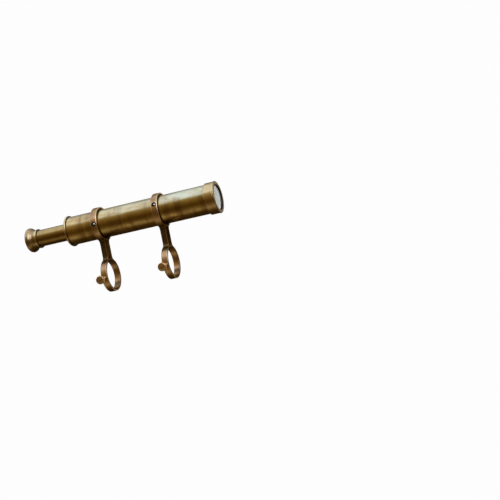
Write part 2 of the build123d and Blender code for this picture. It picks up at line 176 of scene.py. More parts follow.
def smooth_through(points, steps):
    """A Catmull-Rom curve through points: each span is 0.5*(2p1 + (p2 - p0)t +
    (2p0 - 5p1 + 4p2 - p3)t^2 + (3p1 - p0 - 3p2 + p3)t^3), with the end points doubled."""
    p = np.asarray(points, dtype=float)
    p = np.concatenate([p[:1], p, p[-1:]])
    p0, p1, p2, p3 = p[:-3, None], p[1:-2, None], p[2:-1, None], p[3:, None]
    t = np.linspace(0, 1, steps, endpoint=False)[None, :, None]
    spans = 0.5 * (
        2 * p1
        + (p2 - p0) * t
        + (2 * p0 - 5 * p1 + 4 * p2 - p3) * t**2
        + (3 * p1 - p0 - 3 * p2 + p3) * t**3
    )
    return np.concatenate([spans.reshape(-1, p.shape[1]), p[-1:]])


def grid_faces(rows, columns, close_rows=True, close_columns=True):
    """Quads between neighbouring rows and columns of a grid of points."""
    row = np.arange(rows if close_rows else rows - 1)
    column = np.arange(columns if close_columns else columns - 1)
    r, c = np.meshgrid(row, column, indexing="ij")
    r2, c2 = (r + 1) % rows, (c + 1) % columns
    quads = [r * columns + c, r2 * columns + c, r2 * columns + c2, r * columns + c2]
    return np.stack(quads, axis=-1).reshape(-1, 4)


def all_round(count):
    """Equal angles round one turn, as a column."""
    return np.linspace(0, TURN, count, endpoint=False)[:, None]


def round_points(x, r, angle, z=sight_z):
    """Points round a lengthwise axis at height z: (x, -r*cos(angle), z + r*sin(angle))."""
    return np.stack(np.broadcast_arrays(x, -r * np.cos(angle), z + r * np.sin(angle)), axis=-1)


def grid_uv(share, outline):
    """UV of a grid: u is how far the share of a turn is from one half, and v the length along
    the outline in centimetres."""
    steps = np.linalg.norm(np.diff(outline, axis=0), axis=1)
    length = np.concatenate([[0], np.cumsum(steps)]) / (10 * mm)
    return np.stack(np.broadcast_arrays(np.abs(share - 0.5), length), axis=-1)


def spun(name, path, edge, around, sway=0.0):
    """A closed path of (x, radius) carried round the sight axis.  Sway lets a drawn tube be
    very slightly out of true: r grows by sway * a sum of three slow waves in x and angle."""
    x, r = path.T
    angle = all_round(around)
    if sway:
        wave = np.sin(x * 61 + 2 * angle) + 0.7 * np.sin(x * 113 - 3 * angle + 1)
        wave = wave + 0.5 * np.sin(x * 197 + 5 * angle + 2)
        r = r + sway * wave
    wear_and_painted_shading = np.broadcast_to(edge, (around, len(path)))
    uv = grid_uv(angle / TURN, path)
    return mesh_piece(name, round_points(x, r, angle), grid_faces(around, len(path)), uv, wear_and_painted_shading)


def turned(name, outline, radii, around=192, longest=4 * mm, sway=0.0, wear=1.0):
    """A piece turned on the lathe from an outline of (x, radius) with rounded corners."""
    path, edge = fill_in(*soften(outline, radii), longest)
    return spun(name, path, wear * edge, around, sway)


def capped_grid(name, points, first_pole, last_pole, edge=0.0, smooth=50.0):
    """Closes a grid of (around, along) points with a fan of triangles at each pole.  Each quad
    of the grid is cut in two, so that every face of the mesh is a triangle."""
    around, along = points.shape[:2]
    quads = grid_faces(around, along, True, False)
    triangles = np.concatenate([quads[:, [0, 1, 2]], quads[:, [0, 2, 3]]])
    turn = np.arange(around)
    ahead = (turn + 1) % around
    first = np.full(around, around * along)
    fan_in = np.stack([first, ahead * along, turn * along], axis=1)
    fan_out = np.stack([first + 1, turn * along + along - 1, ahead * along + along - 1], axis=1)
    uv = grid_uv(turn[:, None] / around, points[0])
    pole_uv = [[0.25, uv[0, 0, 1]], [0.25, uv[0, -1, 1]]]
    wear_and_painted_shading = np.broadcast_to(edge, (around, along))
    return mesh_piece(
        name,
        np.concatenate([points.reshape(-1, 3), [first_pole, last_pole]]),
        np.concatenate([triangles, fan_in, fan_out]),
        np.concatenate([uv.reshape(-1, 2), pole_uv]),
        np.concatenate([wear_and_painted_shading.ravel(), [0, 0]]),
        smooth,
    )


# ---- brackets -------------------------------------------------------------
# grid lines across the square patch round a screw hole, as shares of half its side
half_lines = np.array(
    [0.0, 0.2, 0.38, 0.48, 0.5, 0.53, 0.63, 0.7, 0.73, 0.742, 0.77, 0.82, 0.9, 1.0]
)
hole_lines = np.concatenate([-half_lines[:0:-1], half_lines])
PATCH = 4.2 * mm  # half the side of that patch


def round_off(a, b, keep=0.8):
    """Bends a square patch of grid lines (-1 to 1 each way) into circles near its middle: with
    m = max(|a|, |b|), a point moves to (a, b) * m / length, and back to its place as m goes
    from keep to 1."""
    m = np.maximum(np.abs(a), np.abs(b))
    length = np.maximum(np.hypot(a, b), 1e-9)
    back = np.clip((m - keep) / (1 - keep), 0, 1)
    scale = (m / length) * (1 - back) + back
    inside = m <= 1
    return np.where(inside, a * scale, a), np.where(inside, b * scale, b)


def bored_ring(name, node, angle_up, hole_r, sink_r=0.0, sink_depth=0.0, bore_r=tube_r):
    """A ring turned in section and bored through its near side for a screw.  Its grid is section
    by angle.  Where the screw goes, the grid lines of the outside and of the bore bend into
    circles (round_off), the lines inside the hole's circle are left out, and a strip joins the two
    openings.  A sink lowers the outside to R - depth inside its own circle."""
    x_mid, half, outer, z_mid = middle_and_size(node)
    bore = bore_r + gap
    round_r, mouth, rest_lines = 0.7 * mm, 0.45 * mm, 150
    arc = np.linspace(0, math.pi / 2, 7)[1:]
    # section columns: outside, right arris, right face, bore, left face, left arris
    out_x = np.concatenate([[-half + round_r], PATCH * hole_lines, [half - round_r]])
    arris_x = half - round_r + round_r * np.sin(arc)
    arris_r = outer - round_r + round_r * np.cos(arc)
    face_r = np.linspace(outer - round_r, bore + 0.5 * mm, 4)[1:]
    face_x = np.full(len(face_r), half)
    bore_x = np.concatenate([[half - mouth], PATCH * hole_lines[::-1], [-half + mouth]])
    out_r, in_r = np.full(len(out_x), outer), np.full(len(bore_x), bore)
    col_x = np.concatenate([out_x, arris_x, face_x, bore_x, -face_x, -arris_x[::-1]])
    col_r = np.concatenate([out_r, arris_r, face_r, in_r, face_r[::-1], arris_r[::-1]])
    # edge values along the section: the rounded arrises bright with edge wear and a painted
    # highlight, and painted shade on the two flat side faces
    rubbed = np.sin(np.linspace(0, math.pi, len(arc) + 2))[1:-1]
    shaded_faces = np.array([-0.6, -0.9, -1.0])
    edge = np.concatenate([0 * out_r, rubbed, shaded_faces, 0 * in_r, shaded_faces[::-1], rubbed])
    # angle lines: the patch, then evenly round the rest
    rest = np.linspace(0, 1, rest_lines)[1:-1]
    count, columns = len(hole_lines) + len(rest), len(col_x)
    in_patch = np.concatenate([hole_lines, np.full(len(rest), 2.0)])[:, None]
    row_a = np.broadcast_to(in_patch, (count, columns))
    col_b = np.broadcast_to(col_x / PATCH, row_a.shape)
    flat = (np.abs(col_x) <= PATCH * 1.0001) & ((col_r > outer - 1e-7) | (col_r < bore + 1e-7))
    a, b = round_off(row_a, col_b)
    a, b = np.where(flat, a, row_a), np.where(flat, b, col_b)
    rho = PATCH * np.hypot(a, b)
    r = np.broadcast_to(col_r, row_a.shape)
    by_screw = (np.arange(columns) < len(out_x)) & (row_a <= 1)
    if sink_r:
        fall = np.clip((sink_r + 0.12 * mm - rho) / (0.14 * mm), 0, 1)
        fall = fall * fall * (3 - 2 * fall)
        r = np.where(by_screw, r - sink_depth * fall, r)
    span = np.arcsin(np.clip(PATCH / r, -1, 1))
    local = np.arcsin(np.clip(PATCH * np.clip(a, -1, 1) / r, -1, 1))
    evenly = np.concatenate([np.zeros(len(hole_lines)), rest])[:, None]
    sweep = np.where(row_a <= 1, local, span + (TURN - 2 * span) * evenly)
    angle = math.radians(angle_up) + sweep
    points = round_points(x_mid + PATCH * b, r, angle, z_mid)
    # leave out the squares inside the hole, on the outside and in the bore
    faces = grid_faces(count, columns)
    row, column = faces[:, 0] // columns, faces[:, 0] % columns
    first = int(np.searchsorted(hole_lines, -hole_r / PATCH - 1e-6))
    last = len(hole_lines) - 1 - first
    out_start, bore_start = 1, len(out_x) + len(arc) + len(face_r) + 1
    cut = (column >= out_start + first) & (column < out_start + last)
    cut |= (column >= bore_start + first) & (column < bore_start + last)
    cut &= (row >= first) & (row < last)
    # walk round the two openings in step and join them
    up = np.arange(first, last)
    down, at_first, at_last = up[::-1] + 1, np.full(len(up), first), np.full(len(up), last)
    walk_row = np.concatenate([up, at_last, down, at_first])
    walk_column = np.concatenate([at_first, up, at_last, down])
    outside = walk_row * columns + out_start + walk_column
    inside = walk_row * columns + bore_start + (len(hole_lines) - 1 - walk_column)
    strip = np.stack([outside, np.roll(outside, -1), np.roll(inside, -1), inside], axis=1)
    faces = np.concatenate([faces[~cut], strip])
    uv = grid_uv((sweep / TURN) % 1.0, np.stack([col_x, col_r], axis=1))
    # painted highlight: the edges of a tube ring are brighter towards its top, over their edge
    # wear; painted shade darkens the edges of every ring next to the post
    toward_post = np.sin(angle) * (-1 if sink_r else 1)
    painted_shade = np.clip((toward_post - 0.70) / 0.15, 0, 1)
    edge_highlight_by_height = np.clip(1.6 - toward_post / 0.5, 0, 1) if sink_r else 0.25
    wear_and_painted_shading = np.where(edge > 0, edge * edge_highlight_by_height - 0.9 * painted_shade, edge)
    if sink_r:
        # a painted highlight in a thin ring just outside the sink, and painted shade over the sink
        # round the screw
        lip = 0.5 * np.clip(1 - np.abs(rho - sink_r - 0.60 * mm) / (0.25 * mm), 0, 1)
        wear_and_painted_shading = np.where(by_screw, np.maximum(wear_and_painted_shading, lip), wear_and_painted_shading)
        wear_and_painted_shading = np.where(by_screw & (rho < sink_r + 0.40 * mm), -1.0, wear_and_painted_shading)
    # drop the points that no face uses any more
    used, renumbered = np.unique(faces, return_inverse=True)
    renumbered = renumbered.reshape(faces.shape)
    points, uv = points.reshape(-1, 3)[used], uv.reshape(-1, 2)[used]
    return mesh_piece(name, points, renumbered, uv, wear_and_painted_shading.ravel()[used], 35.0)


def flared_post(name, upper_node, lower_node, node):
    """The bar between two rings: an oblong with rounded corners.  Near each ring it widens
    across the tube by a quarter ellipse, half width = b + F*(1 - cos(s)), at a distance
    L*(1 - sin(s)) from the ring's surface z = centre -/+ sqrt(R^2 - y^2), and then runs on a
    little way inside the ring."""
    x_mid, a = middle_and_size(node)[:2]
    up_r, up_z = middle_and_size(upper_node)[2:]
    down_r, down_z = middle_and_size(lower_node)[2:]
    b, flare, reach, inside, along = 8.0 * mm, 3.0 * mm, 5.5 * mm, 0.7 * mm, 14
    section, edge = soften([(-a, -b), (a, -b), (a, b), (-a, b)], 1.8 * mm, 8)
    section, edge = fill_in(section, edge, 1.2 * mm)
    s = np.linspace(0, math.pi / 2, along)
    widen = flare * (1 - np.cos(s))
    keep_off = reach * (1 - np.sin(s))
    # from inside the lower ring, up its flare, then up the upper flare into the other ring
    grow = np.concatenate([[widen[-1]], widen[::-1], widen, [widen[-1]]])
    off = np.concatenate([[-inside], keep_off[::-1], keep_off, [-inside]])
    lower = np.arange(len(grow)) < along + 1
    x = x_mid + np.broadcast_to(section[:, :1], (len(section), len(grow)))
    y = section[:, 1:] * (1 + grow / b)
    low_surface = down_z + np.sqrt(down_r**2 - y**2)
    high_surface = up_z - np.sqrt(up_r**2 - y**2)
    z = np.where(lower, low_surface + off, high_surface - off)
    points = np.stack([x, y, z], axis=-1)
    bottom, top = [x_mid, 0, down_z + down_r - inside], [x_mid, 0, up_z - up_r + inside]
    return capped_grid(name, points, bottom, top, 0.6 * edge[:, None])


# ---- screws ---------------------------------------------------------------
def screw_frame(shank_node, ring_node):
    """Where a clamp screw's line meets the clamp rings' axis, and the way it points."""
    centre = Vector((middle_and_size(shank_node)[0], 0, middle_and_size(ring_node)[3]))
    joint = next(j for j in frame["record"]["behaviour"]["joints"] if j["child"] == shank_node)
    return centre, Vector(joint["axis"]).normalized()


def along_screw(centre, out, rings, around, tread):
    """Points of a round surface along a screw: rings is a list of (distance, radius), and tread
    adds to the radius as a function of angle and distance."""
    angle = all_round(around)
    d, r = (np.broadcast_to(line, (around, len(rings))) for line in np.array(rings).T)
    r = (r + tread(angle, d))[..., None]
    side, way = np.array([1.0, 0.0, 0.0]), np.array(out)
    turned_side = np.cos(angle)[..., None] * side + np.sin(angle)[..., None] * np.cross(way, side)
    return np.array(centre) + d[..., None] * way + r * turned_side


def clamp_shank(name, node, ring_node):
    """Threaded shank: r = radius - depth * (1 - ridge), where ridge is a triangle wave of
    (distance / pitch - angle / turn), faded out at both ends, then a shoulder and a neck."""
    centre, out = screw_frame(node, ring_node)
    tip, thread_end, shoulder, head = 22.3 * mm, 31.2 * mm, 32.0 * mm, 38.95 * mm
    pitch, thread_r, depth = 0.81 * mm, 2.5 * mm, 0.36 * mm
    rings = [(tip, 1.6 * mm), (tip + 0.05 * mm, 1.9 * mm)]
    rings += [(d, thread_r) for d in np.arange(tip, thread_end, pitch / 8)[2:]]
    rings += [(thread_end, 2.15 * mm)]
    # the shoulder and the neck, in millimetres past the shoulder and in radius
    turned_part = (
        (-0.1, 2.15), (0, 2.3), (0, 3.1), (0.15, 3.4), (0.5, 3.5),
        (2.4, 3.5), (2.8, 3.3), (3.2, 2.75), (4.2, 2.6),
    )
    rings += [(shoulder + past * mm, r * mm) for past, r in turned_part]
    rings += [(head - 1.2 * mm, 2.7 * mm), (head - 0.5 * mm, 3.1 * mm), (head, 3.4 * mm)]

    def thread(angle, d):
        """Sharp ridges that climb one pitch a turn."""
        phase = (d / pitch - angle / TURN) % 1.0
        ridge = np.abs(phase * 2 - 1) - 0.5
        window = (d > tip + 0.1 * mm) & (d < thread_end - 0.02 * mm)
        return np.where(window, depth * (ridge - 0.5), 0.0)

    points = along_screw(centre, out, rings, 40, thread)
    return capped_grid(name, points, centre + out * tip, centre + out * head)


def clamp_head(name, shank_node, ring_node, head_node):
    """Disc head with a coin edge: the rim's radius dips by depth * (1 - |sin(notches * angle)|
    to the power 0.6) between its two rounded edges, and the face is dished round a raised
    middle."""
    centre, out = screw_frame(shank_node, ring_node)
    full_r = middle_and_size(head_node)[1]
    under, end, middle = 39.0 * mm, 43.5 * mm, 0.08 * mm
    depth, notches = 0.3 * mm, 14
    rings = [(under, 2.6 * mm), (under, full_r - 0.9 * mm)]
    rings += [(under + 0.15 * mm, full_r - 0.35 * mm), (under + 0.55 * mm, full_r)]
    rings += [(under + 1.5 * mm, full_r)]
    # the rest of the rim and the face, in millimetres back from the end and in from the rim
    face = (
        (1.7, 0), (1.05, 0), (0.6, 0.15), (0.25, 0.5), (0.06, 1.0), (0, 1.6),
        (0.08, 2.1), (0.35, 2.6), (0.42, 3.1), (0.22, 3.6), (0.12, 4.4),
    )
    rings += [(end - back * mm, full_r - inward * mm) for back, inward in face]
    rings += [(end - middle, 0.6 * mm)]
    # the rim's edges brighter: edge wear with a painted highlight
    wear_and_painted_shading = np.array([0, 0.2, 0.8, 1, 0.8, 0.8, 1, 1, 0.9, 0.6, 0.3, 0.2, 0, 0, 0.2, 0.1, 0])

    def coin_edge(angle, d):
        """Notches round the rim, fading out at both edges."""
        window = np.clip((d - under - 0.2 * mm) / (0.4 * mm), 0, 1)
        window = window * np.clip((end - 0.5 * mm - d) / (0.5 * mm), 0, 1)
        return -depth * window * (1 - np.abs(np.sin(angle * notches)) ** 0.6)

    points = along_screw(centre, out, rings, 24 * notches, coin_edge)
    return capped_grid(name, points, centre + out * under, centre + out * (end - middle), wear_and_painted_shading)


def domed_screw(name, ring_node, angle_up):
    """Head of a sunk screw: over a disc cut in straight strips, u across the slot and v along
    it, point = (u, v*sqrt(R^2 - u^2)); its height is rim + rise*(1 - (r/R)^2), and a level
    floor lies where |u| is less than half the slot's width.  A flat underside closes it."""
    ring_x, _, ring_r, ring_z = middle_and_size(ring_node)
    radius, slot, seat = 2.35 * mm, 0.26 * mm, ring_r - 1.86 * mm
    rim, rise, floor = seat + 0.20 * mm, 1.45 * mm, seat + 0.80 * mm
    half = np.concatenate([[slot * 0.98, slot * 1.02], np.linspace(slot * 1.3, radius * 0.998, 14)])
    u = np.concatenate([-half[::-1], [0.0], half])[:, None]
    v = np.linspace(-1, 1, 33)[None, :]
    along = v * np.sqrt(radius**2 - u**2)
    across = np.broadcast_to(u, along.shape)
    crown = rim + rise * (1 - (across**2 + along**2) / radius**2)
    top = np.where(np.abs(across) < slot, floor, crown)
    rows, columns = along.shape
    height = np.concatenate([top.ravel(), np.full(top.size, seat)])
    turn = math.radians(35)
    flat = np.stack([across, along], axis=-1).reshape(-1, 2)
    flat = flat @ np.array([[math.cos(turn), math.sin(turn)], [-math.sin(turn), math.cos(turn)]])
    flat = np.concatenate([flat, flat])
    tilt = math.radians(angle_up)
    out = np.array([0.0, -math.cos(tilt), math.sin(tilt)])
    side = np.array([1.0, 0.0, 0.0])
    centre = np.array([ring_x, 0.0, ring_z])
    points = centre + height[:, None] * out + flat[:, :1] * side + flat[:, 1:] * np.cross(out, side)
    sheet = grid_faces(rows, columns, False, False)
    grid = np.arange(rows * columns).reshape(rows, columns)
    edge = np.concatenate([grid[0, :-1], grid[:-1, -1], grid[-1, :0:-1], grid[:0:-1, 0]])
    ahead = np.roll(edge, -1)
    wall = np.stack([edge, edge + top.size, ahead + top.size, ahead], axis=1)
    faces = np.concatenate([sheet[:, ::-1], sheet + top.size, wall])
    # painted shade in the slot and round the rim, from 0.725 of the radius out
    screw_shade = -np.clip(np.hypot(flat[:, 0], flat[:, 1]) / radius / 0.25 - 2.9, 0, 1)
    screw_shade[np.abs(flat @ [math.cos(turn), math.sin(turn)]) < slot] = -1.0
    return mesh_piece(name, points, faces, flat / (10 * mm), screw_shade, 30.0)


# ---- finishes -------------------------------------------------------------
def new_group(name, inputs, outputs):
    """An empty shader node group with its sockets: (kind, name, default) each."""
    group = bpy.data.node_groups.new(name, "ShaderNodeTree")
    for kind, title, default in inputs:
        socket = group.interface.new_socket(title, in_out="INPUT", socket_type=kind)
        if default is not None:
            socket.default_value = default
    for kind, title in outputs:
        group.interface.new_socket(title, in_out="OUTPUT", socket_type=kind)
    return group, group.nodes.new("NodeGroupInput"), group.nodes.new("NodeGroupOutput")


def add(tree, kind, **settings):
    """A node with its properties set; values holds its unlinked inputs by name."""
    node = tree.nodes.new(kind)
    for key, value in settings.items():
        if key == "values":
            for socket, amount in value.items():
                node.inputs[socket].default_value = amount
        else:
            setattr(node, key, value)
    return node


def mix_colour(tree, factor, first, second, blend="MIX"):
    """A colour mix; each argument is a socket or a constant."""
    node = add(tree, "ShaderNodeMix", data_type="RGBA", blend_type=blend)
    for index, value in ((0, factor), (6, first), (7, second)):
        if isinstance(value, bpy.types.NodeSocket):
            tree.links.new(value, node.inputs[index])
        else:
            node.inputs[index].default_value = value
    return node.outputs[2]


def maths(tree, operation, first, second=0.0, clamp=False):
    """A sum on two sockets or constants."""
    node = add(tree, "ShaderNodeMath", operation=operation, use_clamp=clamp)
    for index, value in enumerate((first, second)):
        if isinstance(value, bpy.types.NodeSocket):
            tree.links.new(value, node.inputs[index])
        else:
            node.inputs[index].default_value = value
    return node.outputs[0]


def stretch(tree, value, low, high, to_low=0.0, to_high=1.0):
    """Maps a value from one range to another, smoothly and clamped."""
    ends = {"From Min": low, "From Max": high, "To Min": to_low, "To Max": to_high}
    node = add(tree, "ShaderNodeMapRange", interpolation_type="SMOOTHSTEP", values=ends)
    tree.links.new(value, node.inputs["Value"])
    return node.outputs["Result"]


def noise(tree, place, scale, detail, roughness=0.5):
    """Cloudy noise read at a place: a value near 0.5 that wanders up and down."""
    amounts = {"Scale": scale, "Detail": detail, "Roughness": roughness}
    node = add(tree, "ShaderNodeTexNoise", values=amounts)
    tree.links.new(place, node.inputs["Vector"])
    return node.outputs["Fac"]


def squeezed(tree, place, scale):
    """A place with each of its three directions scaled, to draw out the noise read there."""
    node = add(tree, "ShaderNodeMapping", values={"Scale": scale})
    tree.links.new(place, node.inputs["Vector"])
    return node.outputs[0]


def apart(tree, vector):
    """The three parts of a vector, as outputs X, Y and Z."""
    node = add(tree, "ShaderNodeSeparateXYZ")
    tree.links.new(vector, node.inputs[0])
    return node.outputs


def new_material(name):
    """A fresh material, its node tree and its surface shader."""
    material = bpy.data.materials.new(name)
    material.use_nodes = True
    return material, material.node_tree, material.node_tree.nodes["Principled BSDF"]


def raise_surface(tree, shader, height, strength, distance):
    """Small relief in a shader's normal from a height."""
    bump = add(tree, "ShaderNodeBump", values={"Strength": strength, "Distance": distance})
    tree.links.new(height, bump.inputs["Height"])
    tree.links.new(bump.outputs["Normal"], shader.inputs["Normal"])


def make_aged_metal():
    """Colour, roughness and height of old handled metal: patina in clouds that run lengthwise,
    soft bands round the piece, small dark freckles, edges made bright by wear and a painted
    highlight (where the piece's 'arris' value is above 0), painted shade in near black (where
    it is below 0) and, on what faces up, dust with painted top shading: a pale sheen on some
    metals, a dark shade on others."""
    tree, source, sink = new_group(
        "aged_metal",
        [
            ("NodeSocketColor", "Clean", (0.7, 0.55, 0.3, 1)),
            ("NodeSocketColor", "Tarnish", (0.2, 0.12, 0.05, 1)),
            ("NodeSocketColor", "Edge Wear And Highlight", (0.9, 0.75, 0.45, 1)),
            ("NodeSocketColor", "Dust And Top Shading", (0.62, 0.64, 0.60, 1)),
            ("NodeSocketFloat", "Tarnish Amount", 0.4),
            ("NodeSocketFloat", "Freckles", 0.3),
            ("NodeSocketFloat", "Dust And Top Shading Amount", 0.3),
            ("NodeSocketFloat", "Dust And Top Shading From", 0.2),
            ("NodeSocketFloat", "Base Roughness", 0.3),
        ],
        [
            ("NodeSocketColor", "Color"),
            ("NodeSocketFloat", "Roughness"),
            ("NodeSocketFloat", "Height"),
        ],
    )
    place = add(tree, "ShaderNodeTexCoord").outputs["Object"]
    cloud = noise(tree, squeezed(tree, place, (0.4, 1.0, 1.0)), 60.0, 6.0, 0.6)
    band = noise(tree, squeezed(tree, place, (1.0, 0.16, 0.16)), 95.0, 4.0)
    fine = noise(tree, place, 900.0, 3.0, 0.6)
    spots = add(tree, "ShaderNodeTexVoronoi", values={"Scale": 420.0, "Randomness": 1.0})
    tree.links.new(place, spots.inputs["Vector"])
    cloudy = stretch(tree, cloud, 0.40, 0.64)
    banded = stretch(tree, band, 0.42, 0.64)
    both = maths(tree, "ADD", cloudy, banded)
    tarnish = maths(tree, "MULTIPLY", both, source.outputs["Tarnish Amount"], clamp=True)
    colour = mix_colour(
        tree, tarnish, source.outputs["Clean"], source.outputs["Tarnish"]
    )
    drift = noise(tree, place, 38.0, 3.0)
    greener = stretch(tree, drift, 0.50, 0.70, 0.0, 0.30)
    redder = stretch(tree, drift, 0.34, 0.48, 0.30, 0.0)
    colour = mix_colour(tree, greener, colour, (0.86, 1.0, 0.80, 1), "MULTIPLY")
    colour = mix_colour(tree, redder, colour, (1.0, 0.80, 0.74, 1), "MULTIPLY")
    near = stretch(tree, spots.outputs["Distance"], 0.05, 0.3, 1.0, 0.0)
    rare = stretch(tree, fine, 0.52, 0.66)
    freckle = maths(tree, "MULTIPLY", near, rare)
    freckle = maths(tree, "MULTIPLY", freckle, source.outputs["Freckles"], clamp=True)
    colour = mix_colour(tree, freckle, colour, source.outputs["Tarnish"])
    # dust with painted top shading on what faces up: a pale sheen on some metals, a dark shade on
    # others
    up = apart(tree, add(tree, "ShaderNodeNewGeometry").outputs["Normal"])["Z"]
    steepest = maths(tree, "SUBTRACT", up, source.outputs["Dust And Top Shading From"])
    upward = stretch(tree, steepest, 0.0, 0.3)
    patchy = stretch(tree, cloud, 0.38, 0.62, 1.0, 0.35)
    dust_and_top_shading = maths(tree, "MULTIPLY", upward, patchy)
    dust_and_top_shading = maths(tree, "MULTIPLY", dust_and_top_shading, source.outputs["Dust And Top Shading Amount"], clamp=True)
    colour = mix_colour(tree, dust_and_top_shading, colour, source.outputs["Dust And Top Shading"])
    # edges made bright by wear and a painted highlight, where 'arris' is above 0
    arris = add(tree, "ShaderNodeAttribute", attribute_name="arris")
    uneven = stretch(tree, cloud, 0.3, 0.6, 0.35, 1.0)
    rubbed = maths(tree, "MULTIPLY", arris.outputs["Fac"], uneven, clamp=True)
    colour = mix_colour(tree, rubbed, colour, source.outputs["Edge Wear And Highlight"])
    # painted shade in near black, where 'arris' is below 0
    painted_shade = maths(tree, "MULTIPLY", arris.outputs["Fac"], -1.0, clamp=True)
    colour = mix_colour(tree, painted_shade, colour, (0.012, 0.008, 0.004, 1))
    tree.links.new(colour, sink.inputs["Color"])
    rough = maths(tree, "MULTIPLY", tarnish, 0.12)
    rough = maths(tree, "ADD", rough, source.outputs["Base Roughness"])
    hazy = maths(tree, "MULTIPLY", dust_and_top_shading, 0.08)
    rough = maths(tree, "ADD", rough, hazy)
    rough_in_painted_shade = maths(tree, "MULTIPLY", painted_shade, 0.4)
    rough = maths(tree, "ADD", rough, rough_in_painted_shade, clamp=True)
    tree.links.new(rough, sink.inputs["Roughness"])
    height = maths(tree, "MULTIPLY", fine, 0.25)
    height = maths(tree, "ADD", height, freckle)
    tree.links.new(height, sink.inputs["Height"])
    return tree


def make_tool_marks():
    """Fine rings left by the lathe or the draw bench: noise read Across times along the
    outline (UV v) and Along times round it (UV u)."""
    tree, source, sink = new_group(
        "tool_marks",
        [("NodeSocketFloat", "Across", 90.0), ("NodeSocketFloat", "Along", 1.5)],
        [("NodeSocketFloat", "Height"), ("NodeSocketFloat", "Streak")],
    )
    uv = apart(tree, add(tree, "ShaderNodeUVMap", uv_map="turned").outputs["UV"])
    joined = add(tree, "ShaderNodeCombineXYZ")
    for way, title in (("X", "Along"), ("Y", "Across")):
        stretched = maths(tree, "MULTIPLY", uv[way], source.outputs[title])
        tree.links.new(stretched, joined.inputs[way])
    streak = noise(tree, joined.outputs[0], 1.0, 4.0, 0.7)
    tree.links.new(streak, sink.inputs["Height"])
    tree.links.new(stretch(tree, streak, 0.35, 0.65), sink.inputs["Streak"])
    return tree


aged_metal = make_aged_metal()
tool_marks = make_tool_marks()


def metal(name, clean, tarnish, rubbed, dust_and_top_shading, amounts, rough, marks=(60.0, 1.5),
          mark_depth=0.006, dust_and_top_shading_from=0.2, dust_and_top_shading_span=None, coat=0.25, edge_tint=(1, 1, 1)):
    """An aged metal finish: aged_metal gives colour, roughness and height, tool_marks adds the
    lathe's rings, and a thin lacquer lies over them.  Amounts are tarnish, freckles and dust
    with painted top shading.  dust_and_top_shading_span, two places along x, lets that top
    shading grow from a quarter of its amount at the first to all of it at the second."""
    material, tree, shader = new_material(name)
    tarnished, freckled, dust_and_top_shading_amount = amounts
    age = add(
        tree,
        "ShaderNodeGroup",
        node_tree=aged_metal,
        values={
            "Clean": (*clean, 1),
            "Tarnish": (*tarnish, 1),
            "Edge Wear And Highlight": (*rubbed, 1),
            "Dust And Top Shading": (*dust_and_top_shading, 1),
            "Tarnish Amount": tarnished,
            "Freckles": freckled,
            "Dust And Top Shading Amount": dust_and_top_shading_amount,
            "Dust And Top Shading From": dust_and_top_shading_from,
            "Base Roughness": rough,
        },
    )
    if dust_and_top_shading_span:
        along = apart(tree, add(tree, "ShaderNodeTexCoord").outputs["Object"])["X"]
        amount = stretch(tree, along, *dust_and_top_shading_span, 0.25 * dust_and_top_shading_amount, dust_and_top_shading_amount)
        tree.links.new(amount, age.inputs["Dust And Top Shading Amount"])
    tree.links.new(age.outputs["Color"], shader.inputs["Base Color"])
    height, roughness = age.outputs["Height"], age.outputs["Roughness"]
    if marks:
        rings = {"Across": marks[0], "Along": marks[1]}
        lathe = add(tree, "ShaderNodeGroup", node_tree=tool_marks, values=rings)
        height = maths(tree, "ADD", height, lathe.outputs["Height"])
        streak = maths(tree, "MULTIPLY", lathe.outputs["Streak"], 0.04)
        roughness = maths(tree, "ADD", roughness, streak, clamp=True)
    tree.links.new(roughness, shader.inputs["Roughness"])
    raise_surface(tree, shader, height, 0.5, mark_depth * mm)
    shader.inputs["Metallic"].default_value = 1.0
    shader.inputs["Specular Tint"].default_value = (*edge_tint, 1)
    shader.inputs["Coat Weight"].default_value = coat
    shader.inputs["Coat Roughness"].default_value = 0.12
    return material


# top shading colours: pale dust with a painted cool sheen, and a dark painted shade
pale_dust_and_sheen = (0.70, 0.74, 0.64)
dark_top_shade = (0.20, 0.13, 0.07)
# the sight tube's pale painted sheen on top grows towards the front end
tube_brass = metal(
    "tube_brass", (0.71, 0.54, 0.24), (0.32, 0.20, 0.07), (0.76, 0.60, 0.34), pale_dust_and_sheen,
    (0.55, 0.6, 1.0), 0.17, marks=(0.5, 130.0), dust_and_top_shading_from=0.15, dust_and_top_shading_span=(-110 * mm, 90 * mm),
)
draw_brass = metal(
    "draw_brass", (0.44, 0.30, 0.105), (0.20, 0.12, 0.04), (0.60, 0.44, 0.22), pale_dust_and_sheen,
    (0.40, 0.4, 0.1), 0.21, marks=(0.5, 110.0),
)
# rings: painted dark shade on their tops, and a bright edge colour for edge wear with a painted
# highlight
ring_brass = metal(
    "ring_brass", (0.80, 0.56, 0.36), (0.34, 0.18, 0.09), (0.96, 0.90, 0.60), (0.27, 0.17, 0.10),
    (0.35, 0.5, 0.9), 0.24, dust_and_top_shading_from=0.30, coat=0.0, edge_tint=(0.45, 0.38, 0.25),
)
post_brass = metal(
    "post_brass", (0.17, 0.115, 0.045), (0.07, 0.04, 0.015), (0.17, 0.12, 0.05), dark_top_shade,
    (0.5, 0.6, 0.3), 0.38, marks=(8.0, 6.0), mark_depth=0.02, coat=0.0,
    edge_tint=(0.10, 0.08, 0.06),
)
cell_brass = metal(
    "cell_brass", (0.78, 0.60, 0.34), (0.34, 0.21, 0.10), (0.92, 0.76, 0.46), pale_dust_and_sheen,
    (0.35, 0.4, 0.3), 0.19, edge_tint=(0.6, 0.48, 0.32),
)
cup_brass = metal(
    "cup_brass", (0.55, 0.42, 0.24), (0.24, 0.14, 0.07), (0.72, 0.58, 0.40), dark_top_shade,
    (0.40, 0.5, 0.1), 0.20,
)
